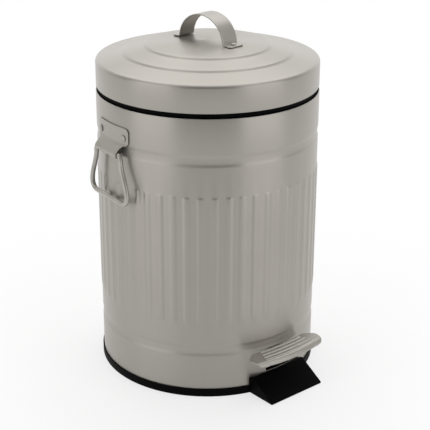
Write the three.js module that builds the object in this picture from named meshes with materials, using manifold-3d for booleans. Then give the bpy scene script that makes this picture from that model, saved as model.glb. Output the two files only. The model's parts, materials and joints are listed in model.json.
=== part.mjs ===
// Round pedal bin: a ribbed steel body with a coned, hinged lid, a strap handle on the lid and a bail
// handle on each side. The pedal's lever lifts the lid by a rod. The base is plastic, with a toe foot, and
// a bucket hangs inside.
// Millimetres, +Z up, the front towards -Y, the origin on the floor in the middle of the base.
import * as THREE from 'three';
import { mergeVertices } from 'three/addons/utils/BufferGeometryUtils.js';
import Module from 'manifold-3d';

const wasm = await Module();
wasm.setup();

// clearances
const gap = 0.3; // between pieces that touch
const running = 0.15; // between a pin and its bore
const flangeGap = 1.0; // between the bucket's flange and the rim ring round it
const holeGap = 0.3; // between a shank and its hole
const slideGap = 0.5; // between the lift pin and the rod's slot

// base
const baseFloor = 2.0;
const baseBandHeight = 7.8;
const baseBandWall = 0.9;
const baseLipWall = 1.6;
const baseLipDrop = 1.0; // from the band's top to the inner lip's

// body
const bodyRadius = 102.5;
const bodyTop = 266.7;
const sheet = 0.8;
const grooveDepth = 0.7;
const grooveWidth = 11.6;
const grooveShoulder = 2.6;
const upperGrooveDrop = 38.0; // from the body's top to the middle of the groove
const lowerGroove = 46.6; // height of its middle
const ribCount = 52;
const ribHeight = 0.5;
const ribWidth = 3.9; // degrees, at the foot
const ribCrown = 1.9; // degrees, across the top
const ribPhase = -1.9; // degrees from the front to the nearest rib
const ribRoot = 0.4; // how far a rib goes into the wall
const ribFootRise = 27.9; // from the lower groove's middle to the ribs
const ribHeadDrop = 33.3; // from the upper groove's middle to the ribs
const ribRamp = 1.4;

// rim ring, bucket
const rimInset = 2.3; // from the body's face to the band's
const rimWall = 1.8;
const rimRise = 6.9; // of the band over the body's top
const rimSleeve = 14.0; // how deep it reaches into the body
const ledgeDrop = 5.3; // from the body's top to the ledge's
const ledgeWidth = 6.0;
const ledgeThickness = 2.0;
const bucketWall = 1.5;
const bucketEase = 1.7; // from the lift rod's head to the bucket's wall
const bucketTaper = 9.5;
const bucketBottom = 46.0;
const bucketCorner = 5.0;
const flangeThickness = 2.0;
const notchHalf = 12.0; // rear notch for the lift rod
const bucketWire = 1.2;
const bucketWireInset = 6.5; // from the flange's edge to the wire
const bucketWireTail = 4.0;

// lid
const lidInset = 0.3; // from the body's face to the skirt's
const lidRise = 4.4; // from the body's top to the skirt's bottom edge
const skirtHeight = 21.4;
const shoulderDrop = 3.5; // rounded shoulder: its height and its depth
const shoulderDepth = 3.7;
const coneRise = 0.208; // rise of the flats per millimetre of radius
const stepInsets = [24.4, 44.6]; // from the skirt to the middles of the steps
const stepWidth = 1.6;
const stepRise = 1.5;
const crownRise = 3.0; // inside the inner step
const linerWidth = 4.9;
const linerHeight = 7.0;
const linerRoom = 2.0; // from the lift arm's plate to the liner's ends

// strap handle on the lid
const strapTurn = 6.0; // degrees, as it sits on the lid
const strapWidth = 18.5;
const strapSheet = 1.0;
const strapFoot = 10.0; // each of its two feet
const strapLegs = 53.0; // between the feet of the arch
const strapHeight = 24.6;
const strapRivetInset = 4.8;

// rivets
const rivetHead = 3.2;
const strapRivetHead = 2.4;
const strapRivetShank = 1.2;
const rivetDome = 1.3;
const rivetShank = 1.5;
const rivetTail = 2.5;
const rivetTailHeight = 0.8;

// side handles
const handleAngle = 95.5; // degrees from the front
const plateSheet = 1.0;
const plateWidth = 49.0;
const plateDrop = 17.2; // from the body's top to the plate's
const plateHeight = 16.0;
const plateCorner = 4.2;
const handleRivetSpread = 37.0;
const handleRivetDrop = 9.4; // from the plate's top
const bailWire = 2.2;
const bailPlay = 0.4; // between the wire and the roll round it
const rollSheet = 1.0;
const rollWidth = 35.0;
const rollDrop = 8.0; // from the plate's bottom to the roll's middle
const bailRoom = 3.5; // from the roll's end to the middle of the wire's leg
const bailWideHalf = 30.5;
const bailDrop = 44.5;
const bailCorner = 8.0;
const bailEndGap = 1.0; // between the wire's two ends inside the roll

// lid hinge at the back
const hingeOut = 4.1; // hinge axis outside the body wall
const hingeRise = 2.3; // over the body's top
const hingePin = 1.6;
const knuckleRadius = 3.0;
const lidKnuckleHalf = 9.0;
const knuckleLength = 11.5;
const leafSheet = 1.0;
const bodyLeafWidth = 44.0;
const bodyLeafDrop = 4.2; // from the body's top
const bodyLeafHeight = 20.0;
const bodyLeafRivetDrop = 15.0; // from the leaf's top to its rivets
const bodyLeafRivetSpread = 28.0;
const lidLeafWidth = 29.0;
const lidLeafFoot = 5.4; // above the lid's bottom edge
const lidLeafDrop = 2.0; // from the skirt's top to the leaf's
const lidRivetSpread = 20.0;
const lidRivetRise = 13.4; // above the lid's bottom edge

// lift rod and lift arm
const armRadius = 16.0;
const armStart = 39.0; // degrees that the arm hangs below the hinge axis at rest
const armSheet = 2.0;
const armEase = 0.7; // between the arm and the rod's head
const armHalf = 2.4;
const armTip = 3.4; // below the pin
const armOverRim = 4.2; // from the rim's top to the arm's shelf
const armPlateDrop = 0.7; // from the skirt's top to the arm's plate
const liftPin = 1.5;
const rodRadius = 1.8;
const rodHeadSheet = 3.0;
const rodHeadWall = 1.4;
const rodHeadFoot = 3.4;
const rodFootRadius = 4.0;
const rodFootHeight = 2.0;
const lowerGuideRise = 59.7; // from the body's bottom edge
const upperGuideDrop = 60.7; // from the body's top
const guideThickness = 6.0;
const guideHalf = 5.0;
const guideWall = 2.6; // material inside the rod
const guideRivetDepth = 5.0;

// pedal, lever, toe foot
const pedalRise = 11.6; // from the top of the lever's slot
const pedalSheet = 1.5;
const pedalLip = 4.6;
const pedalRearHalf = 31.5;
const pedalRearGap = 1.6; // to the body, in the middle
const pedalRearDip = 2.4; // how far the rear corners curve back
const pedalTipHalf = 41.5;
const pedalTipOut = 13.0; // beyond the body
const pedalFrontOut = 23.0;
const pedalFrontHalf = 33.0;
const pedalShoulderOut = 18.6;
const ridgeCount = 4;
const ridgePitch = 4.6;
const ridgeWidth = 1.8;
const ridgeHeight = 0.6;
const ridgeHalf = 25.0;
const ridgeStagger = 1.6;
const ridgeSetback = 4.0; // from the body to the first ridge
const leverWidth = 16.0;
const leverBar = 2.5;
const leverReach = 18.0; // beyond the body, under the pedal
const leverBend = 7.0; // beyond the body, where it turns up
const pivotBack = 52.5; // from the body's front to the pivot
const pivotRise = 6.2; // from the bottom of the lever's slot
const pivotPin = 2.5;
const pivotBoss = 5.0;
const earSheet = 3.0;
const earGap = 0.4;
const leverNoseHalf = 1.4;
const slotRoom = 6.0; // from the lever to the slot's ends
const slotEase = 1.9; // over the lever at rest
const footHalf = 31.6;
const footOut = 26.8; // beyond the body
const footRidgeRise = 9.7; // over the base's band
const footRidgeOut = 0.6; // beyond the body
const footFall = 5.0; // from the ridge back to the body's sides
const footFront = 1.9;
const footScrewAngle = 11.5; // degrees each side of the front
const footScrewRise = 2.6; // over the base's band
const footScrewDepth = 5.0;
const screwHead = 2.8;
const screwHeadHeight = 1.4;

// derived radii and depths
const bodyInner = bodyRadius - sheet;
const bandInner = bodyRadius + gap;
const bandOuter = bandInner + baseBandWall;
const lipOuter = bodyInner - gap;
const sleeveOuter = bodyInner - gap;
const rimRadius = bodyRadius - rimInset;
const rimInner = rimRadius - rimWall;
const ledgeInner = rimInner - ledgeWidth;
const flangeRadius = rimInner - flangeGap;
const lidRadius = bodyRadius - lidInset;
const lidInner = lidRadius - sheet;
const shoulderRadius = lidRadius - shoulderDepth;
const stepRadii = stepInsets.map((inset) => lidRadius - inset);
const crownRadius = stepRadii[1] - stepWidth / 2;
const linerNotch = lidLeafWidth / 2 + linerRoom;
const strapSpan = strapLegs + 2 * strapFoot;
const rollBore = bailWire + bailPlay;
const rollX = bodyRadius + gap + rollBore + rollSheet + gap;
const bailTopHalf = rollWidth / 2 + bailRoom;
const slotHalf = leverWidth / 2 + slotRoom;

// derived heights
const bodyBottom = baseFloor + gap;
const baseLipHeight = baseBandHeight - baseLipDrop;
const footRidge = baseBandHeight + footRidgeRise;
const footScrewZ = baseBandHeight + footScrewRise;
const slotBottom = footRidge + gap;
const pivotZ = slotBottom + pivotRise;
const leverRearTop = pivotZ - leverBar;
const upperGroove = bodyTop - upperGrooveDrop;
const ribBottom = lowerGroove + ribFootRise;
const ribTop = upperGroove - ribHeadDrop;
const guideHeights = [bodyBottom + lowerGuideRise, bodyTop - upperGuideDrop];
const plateTop = bodyTop - plateDrop;
const plateBottom = plateTop - plateHeight;
const handleRivetZ = plateTop - handleRivetDrop;
const rollZ = plateBottom - rollDrop;
const ledgeTop = bodyTop - ledgeDrop;
const rimTop = bodyTop + rimRise;
const flangeBottom = ledgeTop + gap;
const flangeTop = flangeBottom + flangeThickness;
const lidBottom = bodyTop + lidRise;
const skirtTop = lidBottom + skirtHeight;
const linerBottom = rimTop + gap;
const hingeZ = bodyTop + hingeRise;
const bodyLeafTop = bodyTop - bodyLeafDrop;
const lidRivetZ = lidBottom + lidRivetRise;

// derived places of the lifting gear
const hingeY = bodyRadius + hingeOut;
const armRest = THREE.MathUtils.degToRad(armStart);
const armSide = rodHeadSheet / 2 + armEase; // from the middle to the arm's near face
const pinY = hingeY - armRadius * Math.cos(armRest);
const pinZ = hingeZ - armRadius * Math.sin(armRest);
const slotNear = hingeY - armRadius - liftPin - slideGap;
const slotFar = pinY + liftPin + slideGap;
const rodY = (slotNear + slotFar) / 2;
const bucketTopRadius = slotNear - rodHeadWall - bucketEase;
const bucketBottomRadius = bucketTopRadius - bucketTaper;
const pivotY = -bodyRadius + pivotBack;
const rodTravel = 2 * armRadius * Math.sin(armRest);
const pressTravel = rodTravel * pivotBack / (rodY - pivotY); // of the lever at the slot
const leverAtWall = slotBottom + gap + pressTravel;
const slotTop = leverAtWall + leverBar + slotEase;
const pedalTop = slotTop + pedalRise;

const paintedSteel = new THREE.MeshStandardMaterial({ color: '#a9a59d', roughness: 0.45, metalness: 0.3 });
const bareSteel = new THREE.MeshStandardMaterial({ color: '#b3b2ae', roughness: 0.32, metalness: 0.9 });
const blackPlastic = new THREE.MeshStandardMaterial({ color: '#17171a', roughness: 0.5, metalness: 0 });
const bucketPlastic = new THREE.MeshStandardMaterial({ color: '#26272a', roughness: 0.6, metalness: 0 });

// one closed, outward-facing mesh with shared vertices
function weld(source) {
  const bare = source.clone();
  for (const name of ['normal', 'uv']) bare.deleteAttribute(name);
  const merged = mergeVertices(bare, 1e-4);
  const corners = merged.index.array;
  const kept = [];
  for (let i = 0; i < corners.length; i += 3) {
    const [a, b, c] = corners.subarray(i, i + 3);
    if (a !== b && b !== c && c !== a) kept.push(a, b, c);
  }
  if (signedVolume(merged.attributes.position, kept) < 0) kept.reverse();
  merged.setIndex(kept);
  merged.clearGroups();
  return merged;
}

function signedVolume(position, index) {
  const [a, b, c] = [new THREE.Vector3(), new THREE.Vector3(), new THREE.Vector3()];
  let total = 0;
  for (let i = 0; i < index.length; i += 3) {
    a.fromBufferAttribute(position, index[i]);
    b.fromBufferAttribute(position, index[i + 1]);
    c.fromBufferAttribute(position, index[i + 2]);
    total += a.dot(b.cross(c));
  }
  return total / 6;
}

function toSolid(geometry) {
  const clean = weld(geometry);
  return new wasm.Manifold(new wasm.Mesh({
    numProp: 3,
    vertProperties: new Float32Array(clean.attributes.position.array),
    triVerts: new Uint32Array(clean.index.array),
  }));
}

function toGeometry(solid) {
  const mesh = solid.getMesh();
  const geometry = new THREE.BufferGeometry();
  geometry.setAttribute('position', new THREE.BufferAttribute(mesh.vertProperties, 3));
  geometry.setIndex(new THREE.BufferAttribute(mesh.triVerts, 1));
  return geometry;
}

function join(first, ...others) {
  return toGeometry(others.reduce((sum, other) => sum.add(toSolid(other)), toSolid(first)));
}

function cut(first, ...tools) {
  return toGeometry(tools.reduce((rest, tool) => rest.subtract(toSolid(tool)), toSolid(first)));
}

function common(first, second) {
  return toGeometry(toSolid(first).intersect(toSolid(second)));
}

function points2(pairs) {
  return pairs.map(([first, second]) => new THREE.Vector2(first, second));
}

// a profile of [radius, height] turned round the Z axis
function turned(profile, segments = 60) {
  return new THREE.LatheGeometry(points2(profile), segments).rotateX(Math.PI / 2);
}

function ring(inner, outer, bottom, top, segments = 60) {
  return turned([[inner, bottom], [outer, bottom], [outer, top], [inner, top], [inner, bottom]], segments);
}

function block(low, high) {
  const size = high.map((value, i) => value - low[i]);
  const middle = high.map((value, i) => (value + low[i]) / 2);
  return new THREE.BoxGeometry(...size).translate(...middle);
}

// a cylinder along X, Y or Z from its middle point
function rodShape(radius, length, axis, middle, sides = 20) {
  const shape = new THREE.CylinderGeometry(radius, radius, length, sides);
  if (axis === 'x') shape.rotateZ(Math.PI / 2);
  if (axis === 'z') shape.rotateX(Math.PI / 2);
  return shape.translate(...middle);
}

// an outline of [y, z] points, as thick as width, from x on
function sidePlate(outline, width, x = -width / 2, holes = []) {
  const shape = outline instanceof THREE.Shape ? outline : new THREE.Shape(points2(outline));
  shape.holes.push(...holes);
  const plate = new THREE.ExtrudeGeometry(shape, { depth: width, bevelEnabled: false, curveSegments: 5 });
  return plate.applyMatrix4(new THREE.Matrix4().makeBasis(
    new THREE.Vector3(0, 1, 0), new THREE.Vector3(0, 0, 1), new THREE.Vector3(1, 0, 0),
  )).translate(x, 0, 0);
}

// a hole or bar that points outwards from the Z axis
function radialBar(radius, angle, z, from, to) {
  const bar = rodShape(radius, to - from, 'x', [(from + to) / 2, 0, z], 16);
  return bar.rotateZ(THREE.MathUtils.degToRad(angle));
}

function wire(path, radius, steps, sides = 8) {
  const section = new THREE.Shape();
  for (let i = 0; i < sides; i++) {
    const turn = 2 * Math.PI * i / sides;
    section[i ? 'lineTo' : 'moveTo'](radius * Math.cos(turn), radius * Math.sin(turn));
  }
  return new THREE.ExtrudeGeometry(section, { steps, extrudePath: path, bevelEnabled: false });
}

const bin = new THREE.Group();

function add(name, geometry, material, parent = bin) {
  const mesh = new THREE.Mesh(weld(geometry), material);
  mesh.name = name;
  parent.add(mesh);
  return mesh;
}

// a group whose +X points outwards at an angle round the axis, 0 being +X and -90 the front
function outwards(angle, z = 0) {
  const frame = new THREE.Group();
  frame.rotation.z = THREE.MathUtils.degToRad(angle);
  frame.position.z = z;
  bin.add(frame);
  return frame;
}

// domed rivet: its head's seat at 0, its tail's seat a grip further down
function rivet(grip, head = rivetHead, shank = rivetShank, tail = rivetTail) {
  return turned([
    [0, -grip - rivetTailHeight], [tail, -grip - rivetTailHeight], [tail, -grip], [shank, -grip],
    [shank, 0], [head, 0], [head * 0.8, rivetDome * 0.7], [0, rivetDome],
  ], 10);
}

function addRivet(name, angle, radius, z, shape) {
  const mesh = add(name, shape, paintedSteel, outwards(angle, z));
  mesh.rotation.y = Math.PI / 2;
  mesh.position.x = radius;
}

const sides = { left: -90 - handleAngle, right: -90 + handleAngle };
const handleRivetTurn = THREE.MathUtils.radToDeg(handleRivetSpread / 2 / bodyRadius);
const leafRivetTurn = THREE.MathUtils.radToDeg(bodyLeafRivetSpread / 2 / bodyRadius);
const lidRivetTurn = THREE.MathUtils.radToDeg(lidRivetSpread / 2 / lidRadius);
const leafRivetZ = bodyLeafTop - bodyLeafRivetDrop;

// a rib lies at a height and points outwards at an angle, its outer face smaller than its foot
function rib(angle) {
  const deep = ribRoot + ribHeight;
  const chord = (degrees) => 2 * bodyRadius * Math.sin(THREE.MathUtils.degToRad(degrees / 2));
  const bar = new THREE.BoxGeometry(deep, chord(ribWidth), ribTop - ribBottom);
  const position = bar.attributes.position;
  for (let i = 0; i < position.count; i++) {
    if (position.getX(i) < 0) continue;
    position.setY(i, Math.sign(position.getY(i)) * chord(ribCrown) / 2);
    position.setZ(i, position.getZ(i) - Math.sign(position.getZ(i)) * ribRamp);
  }
  bar.translate(bodyRadius - ribRoot + deep / 2, 0, (ribTop + ribBottom) / 2);
  return bar.rotateZ(THREE.MathUtils.degToRad(angle));
}

// body: a ribbed shell with two grooves round it, the lever's slot and the rivets' holes
function bodyShell() {
  const floor = grooveWidth / 2 - grooveShoulder;
  const groove = (middle) => [
    [bodyRadius, middle - grooveWidth / 2], [bodyRadius - grooveDepth, middle - floor],
    [bodyRadius - grooveDepth, middle + floor], [bodyRadius, middle + grooveWidth / 2],
  ];
  const rows = [
    [bodyRadius, bodyBottom], ...groove(lowerGroove), ...groove(upperGroove), [bodyRadius, bodyTop],
  ];
  const inner = rows.map(([r, z]) => [r - sheet, z]);
  const inside = turned([
    [0, bodyBottom - 1], [bodyInner, bodyBottom - 1], ...inner, [bodyInner, bodyTop + 1], [0, bodyTop + 1],
  ], ribCount);
  const ribs = Array.from({ length: ribCount }, (_, i) => rib(i * 360 / ribCount + ribPhase - 90));
  const wall = [bodyInner - 3, bodyRadius + 3];
  const holes = [
    block([-slotHalf, -bodyRadius - 3, slotBottom], [slotHalf, -bodyInner + 6, slotTop]),
    ...guideHeights.map((z) => radialBar(rivetShank + holeGap, 90, z, ...wall)),
  ];
  for (const side of [-1, 1]) {
    holes.push(radialBar(rivetShank + holeGap, 90 + side * leafRivetTurn, leafRivetZ, ...wall));
    holes.push(radialBar(rivetShank + holeGap, -90 + side * footScrewAngle, footScrewZ, ...wall));
    for (const angle of Object.values(sides)) {
      holes.push(radialBar(rivetShank + holeGap, angle + side * handleRivetTurn, handleRivetZ, ...wall));
    }
  }
  const outside = turned([[0, bodyBottom], ...rows, [0, bodyTop]], ribCount * 2);
  return cut(join(outside, ...ribs), inside, ...holes);
}

// base tray: floor, band round the body, inner lip, and the two ears that hold the lever's pin
function baseTray() {
  const tray = turned([
    [0, 0], [bandOuter, 0], [bandOuter, baseBandHeight], [bandInner, baseBandHeight],
    [bandInner, baseFloor], [lipOuter, baseFloor], [lipOuter, baseLipHeight],
    [lipOuter - baseLipWall, baseLipHeight], [lipOuter - baseLipWall, baseFloor], [0, baseFloor],
  ]);
  const ears = [];
  for (const side of [-1, 1]) {
    const middle = side * (leverWidth / 2 + earGap + earSheet / 2);
    const low = [middle - earSheet / 2, pivotY - pivotBoss, baseFloor / 2];
    ears.push(block(low, [middle + earSheet / 2, pivotY + pivotBoss, pivotZ]));
    ears.push(rodShape(pivotBoss, earSheet, 'x', [middle, pivotY, pivotZ]));
  }
  return cut(join(tray, ...ears), rodShape(pivotPin + running, 2 * leverWidth, 'x', [0, pivotY, pivotZ]));
}

// toe foot: a wedge in front of the body, with a straight ridge from which its back falls to the wall
function toeFoot() {
  const back = -bodyRadius + footHalf / 3;
  const shape = sidePlate([
    [back, 0], [-bodyRadius - footOut, 0], [-bodyRadius - footOut, footFront],
    [-bodyRadius - footRidgeOut, footRidge], [back, footRidge - footFall],
  ], 2 * footHalf);
  const deep = bodyRadius + gap + footScrewDepth + 1;
  const screws = [-1, 1].map((side) => radialBar(
    rivetShank + holeGap, -90 + side * footScrewAngle, footScrewZ, bodyRadius - 2, deep,
  ));
  return cut(
    shape,
    ring(bodyRadius - 20, bodyRadius + gap, -1, footRidge + 1, ribCount * 2),
    ring(bodyRadius - 20, bandOuter + gap, -2, baseBandHeight + gap, ribCount * 2),
    ...screws,
  );
}

function footScrew() {
  const depth = sheet + 2 * gap + footScrewDepth;
  return turned([
    [0, 0], [screwHead, 0], [screwHead, screwHeadHeight], [rivetShank, screwHeadHeight],
    [rivetShank, screwHeadHeight + depth], [0, screwHeadHeight + depth],
  ], 16);
}

// rim ring: a band under the lid, a sleeve in the body and the ledge that carries the bucket
function rimRing() {
  const ledgeBottom = ledgeTop - ledgeThickness;
  const sleeveBottom = bodyTop - rimSleeve;
  const collar = turned([
    [rimInner, rimTop], [rimInner, ledgeTop], [ledgeInner, ledgeTop], [ledgeInner, ledgeBottom],
    [rimInner, ledgeBottom], [rimInner + rimWall / 2, sleeveBottom], [sleeveOuter, sleeveBottom],
    [sleeveOuter, bodyTop - gap], [rimRadius, bodyTop - gap], [rimRadius, rimTop], [rimInner, rimTop],
  ]);
  const notch = block([-notchHalf, slotNear - 4, ledgeBottom - 1], [notchHalf, rimInner, ledgeTop + 1]);
  return cut(collar, notch);
}

function bucket() {
  const knee = bucketBottom + bucketCorner;
  const inside = bucketBottom + bucketWall;
  const shell = turned([
    [0, bucketBottom], [bucketBottomRadius - bucketCorner, bucketBottom], [bucketBottomRadius, knee],
    [bucketTopRadius, flangeBottom], [flangeRadius, flangeBottom], [flangeRadius, flangeTop],
    [bucketTopRadius - bucketWall, flangeTop], [bucketBottomRadius - bucketWall, knee],
    [bucketBottomRadius - bucketCorner, inside], [0, inside],
  ], 48);
  const wireRadius = flangeRadius - bucketWireInset;
  const eyes = [-1, 1].map((side) => (
    rodShape(bucketWire + holeGap, 4 * flangeThickness, 'z', [side * wireRadius, 0, flangeBottom], 12)
  ));
  const notch = block(
    [-notchHalf, bucketTopRadius + 0.8, flangeBottom - 1], [notchHalf, flangeRadius + 1, flangeTop + 1],
  );
  return cut(shell, notch, ...eyes);
}

// the bucket's wire bail, folded down on the front half of its flange
function bucketBail() {
  const radius = flangeRadius - bucketWireInset;
  const high = flangeTop + gap + bucketWire;
  const low = flangeBottom - bucketWireTail;
  const section = Array.from({ length: 7 }, (_, i) => [
    radius + bucketWire * Math.cos(i * Math.PI / 3), high + bucketWire * Math.sin(i * Math.PI / 3),
  ]);
  const rearHalf = block([-flangeRadius, 0, low], [flangeRadius, flangeRadius, high + 2 * bucketWire]);
  const posts = [-1, 1].map((side) => (
    rodShape(bucketWire, high - low, 'z', [side * radius, 0, (high + low) / 2], 12)
  ));
  return join(cut(turned(section, 48), rearHalf), ...posts);
}

// height of the lid's outer face at a radius, from the shoulder inwards
function lidHeight(radius) {
  const cone = coneRise * (shoulderRadius - Math.max(radius, crownRadius));
  let height = skirtTop + shoulderDrop + cone;
  for (const middle of stepRadii) {
    height += stepRise * THREE.MathUtils.clamp((middle + stepWidth / 2 - radius) / stepWidth, 0, 1);
  }
  return height + crownRise * (1 - Math.min(radius / crownRadius, 1) ** 2);
}

function lidShell() {
  const knees = [0, 45].map(THREE.MathUtils.degToRad).map((turn) => [
    shoulderRadius + shoulderDepth * Math.cos(turn), skirtTop + shoulderDrop * Math.sin(turn),
  ]);
  const steps = stepRadii.flatMap((middle) => [middle + stepWidth / 2, middle - stepWidth / 2]);
  const radii = [shoulderRadius, ...steps, strapSpan / 2, strapLegs / 2, 0];
  const outer = [[lidRadius, lidBottom], ...knees, ...radii.map((r) => [r, lidHeight(r)])];
  const inner = [...radii].reverse().map((r) => [r, lidHeight(r) - sheet]);
  const innerKnees = [...knees].reverse().map(([r, z]) => [
    r - sheet * (r - shoulderRadius) / shoulderDepth, z - sheet * (z - skirtTop) / shoulderDrop,
  ]);
  const shell = turned([...outer, ...inner, ...innerKnees, [lidInner, lidBottom], [lidRadius, lidBottom]]);
  const holes = [-1, 1].map((side) => (
    radialBar(rivetShank + holeGap, 90 + side * lidRivetTurn, lidRivetZ, lidInner - 4, lidRadius + 4)
  ));
  const turn = THREE.MathUtils.degToRad(strapTurn);
  return cut(shell, ...holes, ...strapHoles().map((hole) => hole.rotateZ(turn)));
}

function strapHoles() {
  const y = strapSpan / 2 - strapRivetInset;
  return [-1, 1].map((side) => (
    rodShape(strapRivetShank + holeGap, 12, 'z', [0, side * y, lidHeight(y)], 12)
  ));
}

function lidLiner() {
  const linerTop = linerBottom + linerHeight;
  const hoop = ring(lidInner - gap - linerWidth, lidInner - gap, linerBottom, linerTop);
  return cut(hoop, block([-linerNotch, 0, linerBottom - 1], [linerNotch, lidRadius, linerTop + 1]));
}

// lid strap: two feet that lie on the cone, and an arch between them
function strapHandle() {
  const end = strapSpan / 2;
  const leg = strapLegs / 2;
  const seat = (y) => lidHeight(Math.abs(y)) + gap;
  const arch = (radius, height) => Array.from({ length: 17 }, (_, i) => {
    const turn = Math.PI * i / 16;
    return [-radius * Math.cos(turn), seat(leg) + height * Math.sin(turn)];
  });
  const over = arch(leg, strapHeight).slice(1, -1);
  const under = arch(leg - strapSheet, strapHeight - strapSheet).reverse();
  const outline = [
    [-end, seat(end) + strapSheet], [-leg, seat(leg) + strapSheet], ...over,
    [leg, seat(leg) + strapSheet], [end, seat(end) + strapSheet], [end, seat(end)], ...under,
    [-end, seat(end)],
  ];
  return cut(sidePlate(outline, strapWidth), ...strapHoles());
}

// handle bracket, seen in a frame whose +X points outwards: a curved plate that ends in a rolled tube
function handleBracket() {
  const half = plateWidth / 2;
  const face = new THREE.Shape();
  face.moveTo(-rollWidth / 2, plateBottom - plateCorner);
  face.quadraticCurveTo(-rollWidth / 2, plateBottom, -half + plateCorner, plateBottom);
  face.quadraticCurveTo(-half, plateBottom, -half, plateBottom + plateCorner);
  face.lineTo(-half, plateTop - plateCorner);
  face.quadraticCurveTo(-half, plateTop, -half + plateCorner, plateTop);
  face.lineTo(half - plateCorner, plateTop);
  face.quadraticCurveTo(half, plateTop, half, plateTop - plateCorner);
  face.lineTo(half, plateBottom + plateCorner);
  face.quadraticCurveTo(half, plateBottom, half - plateCorner, plateBottom);
  face.quadraticCurveTo(rollWidth / 2, plateBottom, rollWidth / 2, plateBottom - plateCorner);
  const inner = bodyRadius + gap;
  const curved = common(
    ring(inner, inner + plateSheet, rollZ, plateTop + 1, ribCount * 2),
    sidePlate(face, 2 * bodyRadius, 0),
  );
  const neck = crossBar([
    [inner - 4, rollZ + rollBore], [inner - 4, plateBottom + 1], [inner + plateSheet, plateBottom + 1],
    [rollX + rollBore / 2, rollZ + rollBore + rollSheet / 2], [rollX, rollZ],
  ], rollWidth);
  const roll = rodShape(rollBore + rollSheet, rollWidth, 'y', [rollX, 0, rollZ], 16);
  const holes = [-1, 1].map((side) => radialBar(
    rivetShank + holeGap, side * handleRivetTurn, handleRivetZ, inner - 2, inner + plateSheet + 2,
  ));
  return cut(
    join(curved, neck, roll),
    turned([[0, rollZ - 20], [inner, rollZ - 20], [inner, plateTop + 2], [0, plateTop + 2]], ribCount * 2),
    rodShape(rollBore, rollWidth + 2, 'y', [rollX, 0, rollZ], 16),
    ...holes,
  );
}

// an outline of [x, z] points, carried along Y
function crossBar(outline, width) {
  return sidePlate(outline.map(([x, z]) => [-x, z]), width).rotateZ(Math.PI / 2);
}

// bail wire round its own pivot: through the roll, down both legs and along the grip
function bailWireShape() {
  const knee = 2.2 * bailWire;
  const grip = bailWideHalf - bailCorner;
  const bend = -bailDrop + bailCorner;
  const half = (side) => {
    const bent = (...points) => {
      const corners = points.map(([y, z]) => new THREE.Vector3(0, side * y, z));
      return corners.length === 3
        ? new THREE.QuadraticBezierCurve3(...corners) : new THREE.CubicBezierCurve3(...corners);
    };
    return [
      straight([side * bailEndGap / 2, 0], [side * (bailTopHalf - knee), 0]),
      bent([bailTopHalf - knee, 0], [bailTopHalf, 0], [bailTopHalf, -knee]),
      bent(
        [bailTopHalf, -knee], [bailTopHalf, -bailDrop * 0.45], [bailWideHalf, -bailDrop * 0.5],
        [bailWideHalf, bend],
      ),
      bent([bailWideHalf, bend], [bailWideHalf, -bailDrop], [grip, -bailDrop]),
    ];
  };
  const path = new THREE.CurvePath();
  half(-1).forEach((curve) => path.add(curve));
  path.add(straight([-grip, -bailDrop], [grip, -bailDrop]));
  half(1).reverse().forEach((curve) => path.add(reversed(curve)));
  return wire(path, bailWire, 40);
}

function straight(from, to) {
  return new THREE.LineCurve3(new THREE.Vector3(0, ...from), new THREE.Vector3(0, ...to));
}

function reversed(curve) {
  const ends = ['v0', 'v1', 'v2', 'v3'].filter((key) => curve[key]).map((key) => curve[key]).reverse();
  return new curve.constructor(...ends);
}

// hinge leaves: a curved plate on the wall and the knuckles round the pin
function hingeLeaf(radius, width, bottom, top, knuckles, reach) {
  const plate = common(
    ring(radius + gap, radius + gap + leafSheet, bottom, top, ribCount * 2),
    block([-width / 2, 0, bottom - 1], [width / 2, 2 * radius, top + 1]),
  );
  const pieces = knuckles.flatMap(([from, to]) => [
    rodShape(knuckleRadius, to - from, 'x', [(from + to) / 2, hingeY, hingeZ]),
    sidePlate(reach, to - from, from),
  ]);
  const seat = radius + gap;
  return cut(
    join(plate, ...pieces),
    turned([[0, bottom - 9], [seat, bottom - 9], [seat, top + 9], [0, top + 9]], ribCount * 2),
    rodShape(hingePin + running, 4 * width, 'x', [0, hingeY, hingeZ]),
  );
}

function bodyHinge() {
  const start = lidKnuckleHalf + gap;
  const end = start + knuckleLength;
  const wall = bodyRadius + gap;
  const web = [
    [wall - 4, bodyLeafTop - 5], [wall + leafSheet, bodyLeafTop - 5],
    [hingeY + knuckleRadius * 0.8, hingeZ - 1], [hingeY, hingeZ],
    [hingeY - knuckleRadius * 0.8, hingeZ - 1], [wall - 4, bodyLeafTop],
  ];
  const leaf = hingeLeaf(
    bodyRadius, bodyLeafWidth, bodyLeafTop - bodyLeafHeight, bodyLeafTop,
    [[-end, -start], [start, end]], web,
  );
  const holes = [-1, 1].map((side) => radialBar(
    rivetShank + holeGap, 90 + side * leafRivetTurn, leafRivetZ, wall - 2, wall + leafSheet + 2,
  ));
  return cut(leaf, ...holes);
}

function lidHinge() {
  const foot = lidBottom + lidLeafFoot;
  const wall = lidRadius + gap;
  const web = [
    [wall - 1, foot + 3], [wall + leafSheet, foot + 3], [hingeY + knuckleRadius * 0.8, hingeZ + 1],
    [hingeY, hingeZ], [hingeY - knuckleRadius * 0.8, hingeZ + 1], [wall - 1, foot],
  ];
  const knuckles = [[-lidKnuckleHalf, lidKnuckleHalf]];
  const leaf = hingeLeaf(lidRadius, lidLeafWidth, foot, skirtTop - lidLeafDrop, knuckles, web);
  const holes = [-1, 1].map((side) => radialBar(
    rivetShank + holeGap, 90 + side * lidRivetTurn, lidRivetZ, wall - 2, wall + leafSheet + 2,
  ));
  return cut(leaf, ...holes);
}

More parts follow.
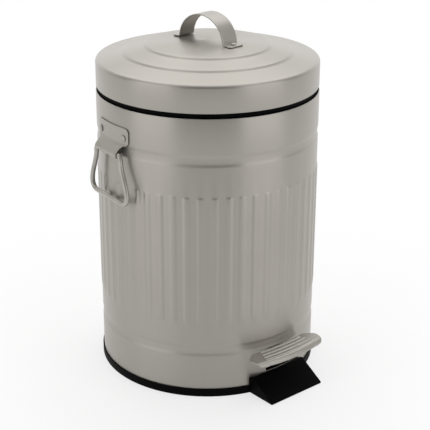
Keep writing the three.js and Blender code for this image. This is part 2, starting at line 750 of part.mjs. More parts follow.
// lift arm inside the lid: a plate on the skirt, and a web down to the pin in the rod's slot
function liftArm() {
  const wall = lidInner - gap;
  const foot = rimTop + armOverRim;
  const top = skirtTop - armPlateDrop;
  const plate = common(
    ring(wall - leafSheet, wall, foot, top, ribCount * 2),
    block([-lidLeafWidth / 2, 0, foot - 1], [lidLeafWidth / 2, 2 * wall, top + 1]),
  );
  const web = sidePlate([
    [wall - leafSheet / 2, foot], [wall - leafSheet / 2, top - 1], [pinY, top - 1],
    [pinY - armHalf, top - 5], [pinY - armHalf, pinZ - armTip],
    [pinY + armHalf * 0.75, pinZ - armTip], [pinY + armHalf * 0.75, foot],
  ], armSheet, armSide);
  const reach = armSide + armSheet / 2 + rodHeadSheet;
  const pin = rodShape(liftPin, reach, 'x', [armSide + armSheet / 2 - reach / 2, pinY, pinZ], 16);
  const holes = [-1, 1].map((side) => radialBar(
    rivetShank + holeGap, 90 + side * lidRivetTurn, lidRivetZ, wall - leafSheet - 2, wall + 2,
  ));
  return cut(join(plate, web, pin), ...holes);
}

// lift rod: a foot over the lever's nose, the shaft, and a head with a level slot for the arm's pin
function liftRod() {
  const low = pinZ - liftPin - slideGap;
  const high = pinZ + liftPin + slideGap;
  const corners = [[slotNear, low], [slotFar, low], [slotFar, high], [slotNear, high]];
  const head = sidePlate([
    [slotNear - rodHeadWall, low - rodHeadFoot], [slotFar + rodHeadWall, low - rodHeadFoot],
    [slotFar + rodHeadWall, high + rodHeadWall], [slotNear - rodHeadWall, high + rodHeadWall],
  ], rodHeadSheet, -rodHeadSheet / 2, [new THREE.Path(points2(corners))]);
  const start = pivotZ + gap;
  const end = low - rodHeadFoot / 2;
  const shaft = rodShape(rodRadius, end - start, 'z', [0, rodY, (start + end) / 2], 16);
  const foot = rodShape(rodFootRadius, rodFootHeight, 'z', [0, rodY, start + rodFootHeight / 2], 16);
  return join(head, shaft, foot);
}

function rodGuide(z) {
  const body = block(
    [-guideHalf, rodY - rodRadius - guideWall, z - guideThickness / 2],
    [guideHalf, bodyInner - gap, z + guideThickness / 2],
  );
  return cut(
    body,
    rodShape(rodRadius + running, 2 * guideThickness, 'z', [0, rodY, z], 16),
    radialBar(rivetShank + holeGap, 90, z, bodyInner - gap - guideRivetDepth - 1, bodyRadius + 2),
  );
}

function pedalOutline(inset) {
  const r = -bodyRadius;
  const rear = [pedalRearHalf - inset, r - pedalRearGap + pedalRearDip];
  const tip = [pedalTipHalf - inset, r - pedalTipOut];
  const shoulder = [pedalFrontHalf - inset, r - pedalShoulderOut + inset];
  const front = r - pedalFrontOut + inset;
  const corner = [pedalTipHalf + 2 - inset, r - pedalShoulderOut + 2];
  const shape = new THREE.Shape();
  shape.moveTo(-rear[0], rear[1]);
  shape.quadraticCurveTo(0, r - pedalRearGap - pedalRearDip, rear[0], rear[1]);
  shape.lineTo(...tip);
  shape.quadraticCurveTo(...corner, ...shoulder);
  shape.quadraticCurveTo(pedalFrontHalf / 2, front, 0, front);
  shape.quadraticCurveTo(-pedalFrontHalf / 2, front, -shoulder[0], shoulder[1]);
  shape.quadraticCurveTo(-corner[0], corner[1], -tip[0], tip[1]);
  return shape;
}

// pressed pedal: a plate with a lip round its front and sides, and ridges along it
function pedalPlate() {
  const lift = (inset, from, to) => new THREE.ExtrudeGeometry(
    pedalOutline(inset), { depth: to - from, bevelEnabled: false, curveSegments: 8 },
  ).translate(0, 0, from);
  const outer = lift(0, pedalTop - pedalLip, pedalTop);
  const hollow = lift(pedalSheet, pedalTop - pedalLip - 1, pedalTop - pedalSheet);
  const open = block(
    [-pedalRearHalf + pedalSheet, -bodyRadius - pedalRearGap - pedalRearDip - 2, pedalTop - pedalLip - 1],
    [pedalRearHalf - pedalSheet, -bodyRadius + pedalRearDip + 2, pedalTop - pedalSheet],
  );
  const ridges = Array.from({ length: ridgeCount }, (_, i) => {
    const y = -bodyRadius - ridgeSetback - i * ridgePitch;
    const half = ridgeHalf + i * ridgeStagger;
    return block(
      [-half, y - ridgeWidth / 2, pedalTop - pedalSheet / 2],
      [half, y + ridgeWidth / 2, pedalTop + ridgeHeight],
    );
  });
  return join(cut(outer, hollow, open), ...ridges);
}

// pedal lever: flat under the pedal, through the slot, round its pin and back to a nose under the rod
function pedalLever() {
  const under = pedalTop - pedalSheet - gap;
  const wallTop = leverAtWall + leverBar;
  const front = -bodyRadius - leverReach;
  const bend = -bodyRadius - leverBend;
  const noseRoot = rodY - 4 * leverNoseHalf;
  const leverRearBottom = leverRearTop - leverBar;
  const bar = sidePlate([
    [front, under], [bend, under], [bend + leverBar, wallTop], [pivotY, wallTop],
    [noseRoot, leverRearTop], [rodY - leverNoseHalf, pivotZ], [rodY + leverNoseHalf, pivotZ],
    [rodY + leverNoseHalf, leverRearBottom], [noseRoot, leverRearBottom],
    [pivotY + pivotBoss, leverRearBottom], [pivotY - pivotBoss, leverAtWall],
    [bend, leverAtWall], [bend - leverBar, under - leverBar], [front, under - leverBar],
  ], leverWidth);
  const boss = rodShape(pivotBoss, leverWidth, 'x', [0, pivotY, pivotZ]);
  return cut(join(bar, boss), rodShape(pivotPin + running, 2 * leverWidth, 'x', [0, pivotY, pivotZ]));
}

add('body_shell', bodyShell(), paintedSteel);
add('base_tray', baseTray(), blackPlastic);
add('toe_foot', toeFoot(), blackPlastic);
for (const [name, side] of [['left', -1], ['right', 1]]) {
  const frame = outwards(-90 + side * footScrewAngle, footScrewZ);
  const screw = add(`foot_screw_${name}`, footScrew(), bareSteel, frame);
  screw.rotation.y = Math.PI / 2;
  screw.position.x = bodyInner - gap - screwHeadHeight;
}
add('rim_ring', rimRing(), blackPlastic);
add('inner_bucket', bucket(), bucketPlastic);
add('bucket_bail', bucketBail(), bareSteel);

add('lid_shell', lidShell(), paintedSteel);
add('lid_liner', lidLiner(), blackPlastic);
const strapFrame = outwards(strapTurn);
add('strap_handle', strapHandle(), paintedSteel, strapFrame);
for (const [name, side] of [['front', -1], ['rear', 1]]) {
  const y = side * (strapSpan / 2 - strapRivetInset);
  const shape = rivet(strapSheet + sheet + 3 * gap, strapRivetHead, strapRivetShank, strapRivetHead);
  const pin = add(`strap_rivet_${name}`, shape, paintedSteel, strapFrame);
  pin.position.set(0, y, lidHeight(Math.abs(y)) + 2 * gap + strapSheet);
  pin.rotation.x = -side * Math.atan(2 * crownRise * Math.abs(y) / crownRadius ** 2);
}

for (const [name, angle] of Object.entries(sides)) {
  const frame = outwards(angle);
  add(`handle_bracket_${name}`, handleBracket(), paintedSteel, frame);
  add(`bail_${name}`, bailWireShape(), bareSteel, frame).position.set(rollX, 0, rollZ);
  for (const [place, side] of [['front', -1], ['rear', 1]]) {
    const turn = (name === 'left' ? -side : side) * handleRivetTurn;
    addRivet(
      `handle_rivet_${name}_${place}`, angle + turn, bodyRadius + 2 * gap + plateSheet, handleRivetZ,
      rivet(plateSheet + sheet + 3 * gap),
    );
  }
}

add('hinge_bracket_body', bodyHinge(), paintedSteel);
add('hinge_bracket_lid', lidHinge(), paintedSteel);
const pinLength = 2 * (lidKnuckleHalf + gap + knuckleLength) + 2;
const hingeRod = rodShape(hingePin, pinLength, 'x', [0, 0, 0], 16);
add('hinge_pin', hingeRod, bareSteel).position.set(0, hingeY, hingeZ);
for (const [name, side] of [['left', 1], ['right', -1]]) {
  addRivet(
    `hinge_rivet_body_${name}`, 90 + side * leafRivetTurn, bodyRadius + 2 * gap + leafSheet, leafRivetZ,
    rivet(leafSheet + sheet + 3 * gap),
  );
  addRivet(
    `hinge_rivet_lid_${name}`, 90 + side * lidRivetTurn, lidRadius + 2 * gap + leafSheet, lidRivetZ,
    rivet(2 * leafSheet + sheet + 4 * gap),
  );
}
add('lift_arm', liftArm(), bareSteel);
add('lift_rod', liftRod(), bareSteel);
guideHeights.forEach((z, i) => {
  const place = ['lower', 'upper'][i];
  add(`rod_guide_${place}`, rodGuide(z), blackPlastic);
  const shape = rivet(
    sheet + 2 * gap + guideRivetDepth - rivetTailHeight, rivetHead, rivetShank, rivetShank,
  );
  addRivet(`guide_rivet_${place}`, 90, bodyRadius + gap, z, shape);
});

add('pedal_plate', pedalPlate(), paintedSteel);
add('pedal_lever', pedalLever(), bareSteel);
const leverPinLength = leverWidth + 2 * (earGap + earSheet) + 2;
const leverRod = rodShape(pivotPin, leverPinLength, 'x', [0, 0, 0]);
add('lever_pin', leverRod, bareSteel).position.set(0, pivotY, pivotZ);

export default bin;
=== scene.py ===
import json
import math
import bpy
from mathutils import Matrix, Vector

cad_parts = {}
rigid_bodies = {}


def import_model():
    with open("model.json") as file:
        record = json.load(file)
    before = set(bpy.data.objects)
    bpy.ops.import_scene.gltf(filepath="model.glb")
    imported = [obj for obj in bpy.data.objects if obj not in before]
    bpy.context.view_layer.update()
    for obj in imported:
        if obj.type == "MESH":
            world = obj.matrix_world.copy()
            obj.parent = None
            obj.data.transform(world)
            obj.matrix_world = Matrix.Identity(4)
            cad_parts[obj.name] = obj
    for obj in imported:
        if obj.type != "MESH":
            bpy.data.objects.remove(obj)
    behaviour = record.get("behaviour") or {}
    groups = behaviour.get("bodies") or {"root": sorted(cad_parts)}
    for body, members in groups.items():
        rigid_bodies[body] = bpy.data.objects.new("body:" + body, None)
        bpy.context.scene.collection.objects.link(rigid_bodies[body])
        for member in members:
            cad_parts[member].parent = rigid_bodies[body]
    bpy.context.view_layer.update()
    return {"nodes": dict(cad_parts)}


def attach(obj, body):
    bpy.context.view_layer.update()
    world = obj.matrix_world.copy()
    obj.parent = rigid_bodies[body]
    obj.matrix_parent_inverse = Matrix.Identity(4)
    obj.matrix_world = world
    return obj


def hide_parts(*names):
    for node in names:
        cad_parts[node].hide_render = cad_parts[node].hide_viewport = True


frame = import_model()
mm = 0.001


# selecting, naming and finishing pieces

def deselect():
    if bpy.context.mode != "OBJECT":
        bpy.ops.object.mode_set(mode="OBJECT")
    bpy.ops.object.select_all(action="DESELECT")


def pick(piece):
    deselect()
    piece.select_set(True)
    bpy.context.view_layer.objects.active = piece


def named(piece, name):
    piece.name = name
    piece.data.name = name
    return piece


def discard(*pieces):
    for piece in pieces:
        mesh = piece.data
        bpy.data.objects.remove(piece)
        bpy.data.meshes.remove(mesh)


def settle(piece, place=None):      # the place goes into the mesh, and the object stays at the origin
    if place is not None:
        piece.matrix_world = place @ piece.matrix_world
    pick(piece)
    bpy.ops.object.transform_apply(location=True, rotation=True, scale=True)
    return piece


def copyOf(piece, name, place):     # each copy has its own mesh
    pick(piece)
    bpy.ops.object.duplicate()
    return settle(named(bpy.context.object, name), place)


def joinPieces(first, *others):
    deselect()
    for piece in (first, *others):
        piece.select_set(True)
    bpy.context.view_layer.objects.active = first
    bpy.ops.object.join()
    return first


def modifier(piece, kind, **settings):
    pick(piece)
    bpy.ops.object.modifier_add(type=kind)
    added = piece.modifiers[-1]
    for key, value in settings.items():
        setattr(added, key, value)
    bpy.ops.object.modifier_apply(modifier=added.name)
    return piece


def roundEdges(piece, width, segments=2, angle=35):
    return modifier(piece, "BEVEL", width=width * mm, segments=segments, limit_method="ANGLE",
                    angle_limit=math.radians(angle), use_clamp_overlap=True)


def thicken(piece, wall, offset=-1, even=True):
    return modifier(piece, "SOLIDIFY", thickness=wall * mm, offset=offset, use_even_offset=even)


def cutWith(piece, tool):
    modifier(piece, "BOOLEAN", operation="DIFFERENCE", solver="EXACT", object=tool)
    discard(tool)
    return piece


def finishMesh(piece, angle=32, doubles=0.002, outward=True):
    pick(piece)
    bpy.ops.object.mode_set(mode="EDIT")
    bpy.ops.mesh.select_all(action="SELECT")
    bpy.ops.mesh.remove_doubles(threshold=doubles * mm)
    if outward:
        bpy.ops.mesh.normals_make_consistent(inside=False)
    bpy.ops.object.mode_set(mode="OBJECT")
    bpy.ops.object.shade_smooth_by_angle(angle=math.radians(angle))
    return piece


# sums that several pieces use

def smooth(t):                      # an S-curve from 0 to 1
    t = min(max(t, 0.0), 1.0)
    return t * t * (3 - 2 * t)


def circleSide(radius, off):        # half a circle's width at a place off its middle
    return math.sqrt(max(radius * radius - off * off, 0))


def arc(across, up, wide, high, start, end, count):     # points on part of an ellipse, between two angles
    turns = [math.radians(start + (end - start) * i / count) for i in range(count + 1)]
    return [(across + wide * math.cos(turn), up + high * math.sin(turn)) for turn in turns]


def outwards(degrees, radius=0, height=0):              # a frame whose +X points outwards, at an angle round the axis
    return (Matrix.Rotation(math.radians(degrees), 4, "Z")
            @ Matrix.Translation(Vector((radius, 0, height)) * mm))


# shapes, all in millimetres

def outline(name, points):                              # a line of points, drawn by extruding one vertex
    deselect()
    bpy.ops.mesh.primitive_plane_add(size=0.01)
    piece = named(bpy.context.object, name)
    bpy.ops.object.mode_set(mode="EDIT")
    bpy.ops.mesh.select_mode(type="VERT")
    bpy.ops.mesh.merge(type="CENTER")
    last = Vector((0, 0, 0))
    for i, point in enumerate(points):
        step = (Vector(point) - last) * mm
        if i == 0:
            bpy.ops.transform.translate(value=step)
        else:
            bpy.ops.mesh.extrude_vertices_move(TRANSFORM_OT_translate={"value": step})
        last = Vector(point)
    bpy.ops.mesh.select_all(action="SELECT")
    return piece


def turned(name, profile, steps=192, angle=32):         # an open, closed or axis-to-axis profile of (radius, height)
    piece = outline(name, [(r, 0, z) for r, z in profile])
    bpy.ops.mesh.spin(steps=steps, angle=2 * math.pi, center=(0, 0, 0), axis=(0, 0, 1))
    bpy.ops.object.mode_set(mode="OBJECT")
    return finishMesh(piece, angle)


def extruded(name, points, depth):                      # a closed outline, extruded by a vector
    piece = outline(name, points)
    bpy.ops.mesh.edge_face_add()
    bpy.ops.mesh.extrude_region_move(TRANSFORM_OT_translate={"value": Vector(depth) * mm})
    bpy.ops.object.mode_set(mode="OBJECT")
    return finishMesh(piece)


def gridSheet(name, rows, columns, shape):              # a grid whose points a formula of (across, along) places
    deselect()
    bpy.ops.mesh.primitive_grid_add(x_subdivisions=columns, y_subdivisions=rows, size=2)
    piece = named(bpy.context.object, name)
    for vertex in piece.data.vertices:
        vertex.co = Vector(shape(vertex.co.x, (vertex.co.y + 1) / 2)) * mm
    return finishMesh(piece)


def wirePiece(name, route, radius, sides=4):            # a round wire along points
    deselect()
    bpy.ops.curve.primitive_bezier_curve_add()
    line = bpy.context.object
    line.data.splines.clear()
    spline = line.data.splines.new("POLY")
    spline.points.add(len(route) - 1)
    for point, place in zip(spline.points, route):
        point.co = (*(Vector(place) * mm), 1)
    line.data.dimensions = "3D"
    line.data.bevel_depth = radius * mm
    line.data.bevel_resolution = sides
    line.data.use_fill_caps = True
    bpy.ops.object.convert(target="MESH")
    settle(line)
    return finishMesh(named(line, name), 45)


def bar(low, high):                                     # a cutting block between two corners
    low, high = Vector(low), Vector(high)
    deselect()
    bpy.ops.mesh.primitive_cube_add(size=1, location=(low + high) / 2 * mm)
    bpy.context.object.scale = (high - low) * mm
    return settle(bpy.context.object)


def drill(radius, start, end, sides=48):                # a cutting rod between two points
    start, end = Vector(start), Vector(end)
    deselect()
    bpy.ops.mesh.primitive_cylinder_add(vertices=sides, radius=radius * mm, depth=(end - start).length * mm)
    tool = bpy.context.object
    tool.matrix_world = (Matrix.Translation((start + end) / 2 * mm)
                         @ (end - start).to_track_quat("Z", "Y").to_matrix().to_4x4())
    return settle(tool)


# materials: each surface takes its colour, sheen and relief from patterns measured in millimetres

def linear(hexColour):
    parts = [int(hexColour[i:i + 2], 16) / 255 for i in (1, 3, 5)]
    return tuple(p / 12.92 if p <= 0.04045 else ((p + 0.055) / 1.055) ** 2.4 for p in parts) + (1.0,)


def grey(level):
    return (level, level, level, 1)


def addNode(tree, kind, settings=None, links=None):     # a link may name a node, for its first output, or a socket
    node = tree.nodes.new(kind)
    for key, value in (settings or {}).items():
        if key == "stops":
            stops = node.color_ramp.elements
            stops.remove(stops[-1])
            for place, colour in value[1:]:
                stops.new(place).color = colour
            stops[0].position, stops[0].color = value[0]
        elif isinstance(key, int) or key in node.inputs:
            node.inputs[key].default_value = value
        else:
            setattr(node, key, value)
    for key, source in (links or {}).items():
        socket = source if isinstance(source, bpy.types.NodeSocket) else source.outputs[0]
        tree.links.new(socket, node.inputs[key])
    return node


def newMaterial(name):
    material = bpy.data.materials.new(name)
    material.use_nodes = True
    tree = material.node_tree
    tree.nodes.clear()
    return material, tree, addNode(tree, "ShaderNodeTexCoord").outputs["Object"]


def surface(tree, look, shade, sheen, relief, settings, links=None):
    glossier, duller = look["sheen"]
    colour = addNode(tree, "ShaderNodeValToRGB",
                     {"stops": [(0.3, linear(look["deep"])), (0.7, linear(look["pale"]))]}, {"Fac": shade})
    rough = addNode(tree, "ShaderNodeMapRange",
                    {"From Min": 0.3, "From Max": 0.7, "To Min": glossier, "To Max": duller}, {"Value": sheen})
    bump = addNode(tree, "ShaderNodeBump", {"Strength": look["relief"], "Distance": look["reliefMm"] * mm},
                   {"Height": relief})
    shader = addNode(tree, "ShaderNodeBsdfPrincipled", settings,
                     {"Base Color": colour, "Roughness": rough, "Normal": bump, **(links or {})})
    addNode(tree, "ShaderNodeOutputMaterial", {}, {"Surface": shader})


# satin powder coat on pressed steel: a warm grey, faintly clouded, with the fine orange peel of baked powder
paint = {
    "pale": "#a8a49d", "deep": "#a29e97", "sheen": (0.34, 0.40), "metallic": 0.6, "grained": 0.0,
    "cloudMm": 60, "peelMm": 1.6, "relief": 0.35, "reliefMm": 0.01,
}
# the body's and lid's grain runs round the axis and is too fine to draw, so anisotropy stands for it
drawnPaint = {**paint, "metallic": 0.8, "grained": 0.7}


def paintedSteel(name, look):
    material, tree, place = newMaterial(name)
    cloud = addNode(tree, "ShaderNodeTexNoise", {"Scale": 1 / (look["cloudMm"] * mm)}, {"Vector": place})
    peel = addNode(tree, "ShaderNodeTexNoise", {"Scale": 1 / (look["peelMm"] * mm)}, {"Vector": place})
    links = {}
    if look["grained"]:
        links["Tangent"] = addNode(tree, "ShaderNodeTangent", {"direction_type": "RADIAL", "axis": "Z"})
    surface(tree, look, cloud, cloud, peel, {
        "Metallic": look["metallic"], "Anisotropic": look["grained"], "Anisotropic Rotation": 0.25}, links)
    return material


# drawn steel wire under a thin coat of the same grey, a little glossier, with its drawing lines along it;
# the lines are drawn coarser than the real ones, about 0.1 mm apart, so that they show
wireLook = {
    "pale": "#b4b1aa", "deep": "#a29f98", "sheen": (0.28, 0.38), "metallic": 0.6,
    "cloudMm": 14, "lineMm": 0.8, "lineDraw": (1, 1, 0.15), "relief": 0.2, "reliefMm": 0.02,
}


def coatedWire(name, look):
    material, tree, place = newMaterial(name)
    cloud = addNode(tree, "ShaderNodeTexNoise", {"Scale": 1 / (look["cloudMm"] * mm)}, {"Vector": place})
    drawn = addNode(tree, "ShaderNodeMapping", {"Scale": look["lineDraw"]}, {"Vector": place})
    lines = addNode(tree, "ShaderNodeTexNoise", {"Scale": 1 / (look["lineMm"] * mm), "Detail": 3},
                    {"Vector": drawn})
    surface(tree, look, cloud, lines, lines, {"Metallic": look["metallic"]})
    return material


# zinc-plated mild steel: pale, with the plating's spangle and faint rolling marks, coarse enough to show
zincLook = {
    "pale": "#bdbdb9", "deep": "#a4a49f", "sheen": (0.3, 0.42),
    "spangleMm": 5, "rollMm": 0.6, "rollDraw": (1, 0.08, 1), "relief": 0.15, "reliefMm": 0.02,
}


def zincSteel(name, look):
    material, tree, place = newMaterial(name)
    spangle = addNode(tree, "ShaderNodeTexVoronoi", {"Scale": 1 / (look["spangleMm"] * mm)}, {"Vector": place})
    drawn = addNode(tree, "ShaderNodeMapping", {"Scale": look["rollDraw"]}, {"Vector": place})
    rolling = addNode(tree, "ShaderNodeTexNoise", {"Scale": 1 / (look["rollMm"] * mm)}, {"Vector": drawn})
    surface(tree, look, spangle.outputs["Color"], rolling, rolling, {"Metallic": 1.0})
    return material


# moulded polypropylene: low sheen from a spark-eroded mould, a little greyer where it is handled;
# the mould's grain is drawn coarser than the real 0.1 mm, so that it shows
plasticLook = {
    "pale": "#050505", "deep": "#020202", "sheen": (0.45, 0.6), "gloss": 0.04,
    "handledMm": 25, "mouldMm": 0.7, "relief": 0.3, "reliefMm": 0.03,
}
bucketLook = {**plasticLook, "pale": "#1d1e22", "deep": "#131418", "sheen": (0.45, 0.58), "gloss": 0.4,
              "mouldMm": 1.0}


def mouldedPlastic(name, look):
    material, tree, place = newMaterial(name)
    handled = addNode(tree, "ShaderNodeTexNoise", {"Scale": 1 / (look["handledMm"] * mm)}, {"Vector": place})
    mould = addNode(tree, "ShaderNodeTexNoise", {"Scale": 1 / (look["mouldMm"] * mm), "Detail": 3},
                    {"Vector": place})
    surface(tree, look, handled, mould, mould, {"IOR": 1.49, "Specular IOR Level": look["gloss"]})
    return material


finishes = {                        # each finish with its material and the record's slot
    "painted": (paintedSteel("powderCoatedSteel", paint), "painted_steel"),
    "grained": (paintedSteel("grainedCoatedSteel", drawnPaint), "painted_steel"),
    "wire": (coatedWire("coatedSteelWire", wireLook), "bare_steel"),
    "zinc": (zincSteel("zincPlatedSteel", zincLook), "bare_steel"),
    "plastic": (mouldedPlastic("blackPolypropylene", plasticLook), "black_plastic"),
    "pail": (mouldedPlastic("bucketPolypropylene", bucketLook), "bucket_plastic"),
}


def finishPiece(piece, finish, bodyName, node):
    material, slot = finishes[finish]
    piece.data.materials.clear()
    piece.data.materials.append(material)
    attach(piece, bodyName)
    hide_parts(node)


print("helpers and materials ready")

# body: a ribbed shell with two soft grooves and the lever's slot at the front
body = {
    "radius": 102.5, "bottom": 2.3, "top": 266.7, "wall": 0.8, "edge": 0.6, "steps": 624,
    "grooves": (46.6, 228.7), "grooveWidth": 12.4, "grooveShoulder": 4.2, "grooveDepth": 0.7,
    "ribs": 52, "ribPhase": -91.9, "ribHeight": 0.6, "ribFoot": 1.85, "ribCrown": 1.0,
    "ribLow": 74.9, "ribLowEase": 4.0, "ribHigh": 195.2, "ribHighEase": 1.5,
    "midRows": (100, 120, 140, 160, 180), "slotHalf": 14.0, "slotLow": 17.8, "slotHigh": 29.9,
}


def grooveRows(middle):             # a groove's two shoulders, from below
    rows = []
    for side, shares in ((-1, range(6)), (1, range(5, -1, -1))):
        for share in [i / 5 for i in shares]:
            z = middle + side * (body["grooveWidth"] / 2 - body["grooveShoulder"] * share)
            rows.append((body["radius"] - body["grooveDepth"] * smooth(share), z))
    return rows


def ribRise(x, y, z):               # how far a rib stands out at a point of the wall
    b, pitch = body, 360 / body["ribs"]
    turn = (math.degrees(math.atan2(y, x)) - b["ribPhase"] + pitch / 2) % pitch - pitch / 2
    across = 1 - smooth((abs(turn) - b["ribCrown"]) / (b["ribFoot"] - b["ribCrown"]))
    low = smooth((z - b["ribLow"] + b["ribLowEase"]) / (2 * b["ribLowEase"]))
    high = 1 - smooth((z - b["ribHigh"] + b["ribHighEase"]) / (2 * b["ribHighEase"]))
    return b["ribHeight"] * across * low * high


def makeBody():
    b, r, edge = body, body["radius"], body["edge"]
    rows = [(r, z) for z in (b["bottom"], b["slotLow"], b["slotHigh"])] + grooveRows(b["grooves"][0])
    rows += [(r, b["ribLow"] + b["ribLowEase"] * k / 3) for k in range(-3, 4)]
    rows += [(r, z) for z in b["midRows"]]
    rows += [(r, b["ribHigh"] + b["ribHighEase"] * k / 2) for k in range(-2, 3)]
    rows += grooveRows(b["grooves"][1]) + arc(r - edge, b["top"] - edge, edge, edge, 0, 90, 3)
    shell = turned("bin_body", rows, b["steps"])
    for vertex in shell.data.vertices:
        grown = 1 + ribRise(*(vertex.co / mm)) / r
        vertex.co.x *= grown
        vertex.co.y *= grown
    bpy.ops.object.mode_set(mode="EDIT")
    bpy.ops.mesh.select_all(action="DESELECT")
    bpy.ops.mesh.select_mode(type="FACE")
    bpy.ops.object.mode_set(mode="OBJECT")
    for face in shell.data.polygons:
        x, y, z = face.center / mm
        face.select = y < 0 and abs(x) < b["slotHalf"] and b["slotLow"] < z < b["slotHigh"]
    bpy.ops.object.mode_set(mode="EDIT")
    bpy.ops.mesh.delete(type="FACE")
    bpy.ops.object.mode_set(mode="OBJECT")
    thicken(shell, b["wall"])
    bpy.ops.object.shade_smooth_by_angle(angle=math.radians(50))
    finishPiece(shell, "grained", "bin", "body_shell")


makeBody()
print("body done")

# base: a black tray whose band shows round the foot of the body, and the two ears for the lever's pin
base = {
    "floor": 2.0, "bandInner": 102.8, "bandOuter": 103.7, "bandTop": 7.8, "bandLowEdge": 0.4, "bandTopEdge": 0.3,
    "lipOuter": 101.4, "lipWall": 1.6, "lipTop": 6.8, "earSheet": 3.0, "earNear": 8.4, "earEdge": 0.3,
    "earSpread": 2.0, "earSunk": 0.5, "pivotY": -50.0, "pivotZ": 24.0, "boss": 5.0, "bore": 2.65,
}


def makeEar():
    b = base
    near, foot, low = b["earNear"], b["boss"] + b["earSpread"], b["floor"] - b["earSunk"]
    side = arc(b["pivotY"], b["pivotZ"], b["boss"], b["boss"], 0, 180, 16)
    side += [(b["pivotY"] - foot, low), (b["pivotY"] + foot, low)]
    ear = extruded("pin_ear", [(near, y, z) for y, z in side], (b["earSheet"], 0, 0))
    cutWith(ear, drill(b["bore"], (0, b["pivotY"], b["pivotZ"]), (near * 3, b["pivotY"], b["pivotZ"])))
    return roundEdges(finishMesh(ear), b["earEdge"])


def makeBase():
    b = base
    lipInner = b["lipOuter"] - b["lipWall"]
    tray = turned("bin_base", [
        (0, 0), (b["bandOuter"] - b["bandLowEdge"], 0), (b["bandOuter"], b["bandLowEdge"]),
        (b["bandOuter"], b["bandTop"] - b["bandTopEdge"]), (b["bandOuter"] - b["bandTopEdge"], b["bandTop"]),
        (b["bandInner"], b["bandTop"]), (b["bandInner"], b["floor"]), (b["lipOuter"], b["floor"]),
        (b["lipOuter"], b["lipTop"]), (lipInner, b["lipTop"]), (lipInner, b["floor"]), (0, b["floor"]),
    ], 256)
    ear = makeEar()
    apart = 2 * b["earNear"] + b["earSheet"]
    joinPieces(tray, ear, copyOf(ear, "pin_ear_left", Matrix.Translation((-apart * mm, 0, 0))))
    finishPiece(tray, "plastic", "bin", "base_tray")


makeBase()

# toe foot: the black wedge in front of the body, with the holes for its two screws
foot = {
    "half": 31.6, "front": -129.2, "frontHigh": 1.8, "ridgeY": -103.1, "ridgeHigh": 17.5, "fall": 5.0,
    "wall": 102.8, "bandRoom": 104.0, "bandTop": 8.1, "edge": 0.8,
    "screwTurn": 11.5, "screwHigh": 10.4, "screwHole": 1.8, "screwReach": (100, 109),
}


def makeFoot():
    f = foot
    back = -f["wall"] + f["half"] / 3
    side = [(back, 0), (f["front"], 0), (f["front"], f["frontHigh"]), (f["ridgeY"], f["ridgeHigh"]),
            (back, f["ridgeHigh"] - f["fall"])]
    wedge = extruded("toe_wedge", [(-f["half"], y, z) for y, z in side], (2 * f["half"], 0, 0))
    roundEdges(wedge, f["edge"], 3)
    cutWith(wedge, drill(f["wall"], (0, 0, -5), (0, 0, 40), 256))
    cutWith(wedge, drill(f["bandRoom"], (0, 0, -5), (0, 0, f["bandTop"]), 256))
    for way in (-1, 1):
        turn = math.radians(-90 + way * f["screwTurn"])
        start, end = [Vector((math.cos(turn) * r, math.sin(turn) * r, f["screwHigh"])) for r in f["screwReach"]]
        cutWith(wedge, drill(f["screwHole"], start, end, 24))
    finishMesh(wedge, outward=False)
    finishPiece(wedge, "plastic", "bin", "toe_foot")


makeFoot()
print("base and foot done")

# rim ring: the black band between body and lid, with a ledge that carries the bucket
rim = {
    "radius": 100.2, "inner": 98.4, "top": 273.6, "edge": 0.5, "bodyTop": 266.4, "sleeve": 101.4, "low": 252.7,
    "draft": 0.9, "ledgeTop": 261.4, "ledgeLow": 259.4, "ledgeInner": 92.4, "notch": 12.0, "notchStart": 84.6,
}


def makeRim():
    m, edge = rim, rim["edge"]
    band = turned("rim_band", [
        (m["inner"] + edge, m["top"]), (m["inner"], m["top"] - edge), (m["inner"], m["ledgeTop"]),
        (m["ledgeInner"], m["ledgeTop"]), (m["ledgeInner"], m["ledgeLow"]), (m["inner"], m["ledgeLow"]),
        (m["inner"] + m["draft"], m["low"]), (m["sleeve"], m["low"]), (m["sleeve"], m["bodyTop"]),
        (m["radius"], m["bodyTop"]), (m["radius"], m["top"] - edge), (m["radius"] - edge, m["top"]),
        (m["inner"] + edge, m["top"]),
    ], 256)
    cutWith(band, bar((-m["notch"], m["notchStart"], m["ledgeLow"] - 1),
                      (m["notch"], m["inner"] - 0.01, m["ledgeTop"] + 1)))
    finishMesh(band, outward=False)
    finishPiece(band, "plastic", "bin", "rim_ring")


makeRim()

# bucket: a pail that hangs by its flange, and its wire bail folded down on the flange
bucket = {
    "top": 85.5, "bottom": 76.0, "low": 46.0, "corner": 5.0, "wall": 1.5, "edge": 0.4,
    "flange": 97.4, "flangeLow": 261.7, "flangeHigh": 263.7, "notch": 12.0, "notchStart": 86.3,
    "wire": 1.2, "wireRoom": 0.3, "wireRadius": 90.9, "wireTail": 257.7, "wireDip": 1.3, "wireSteps": 48,
}


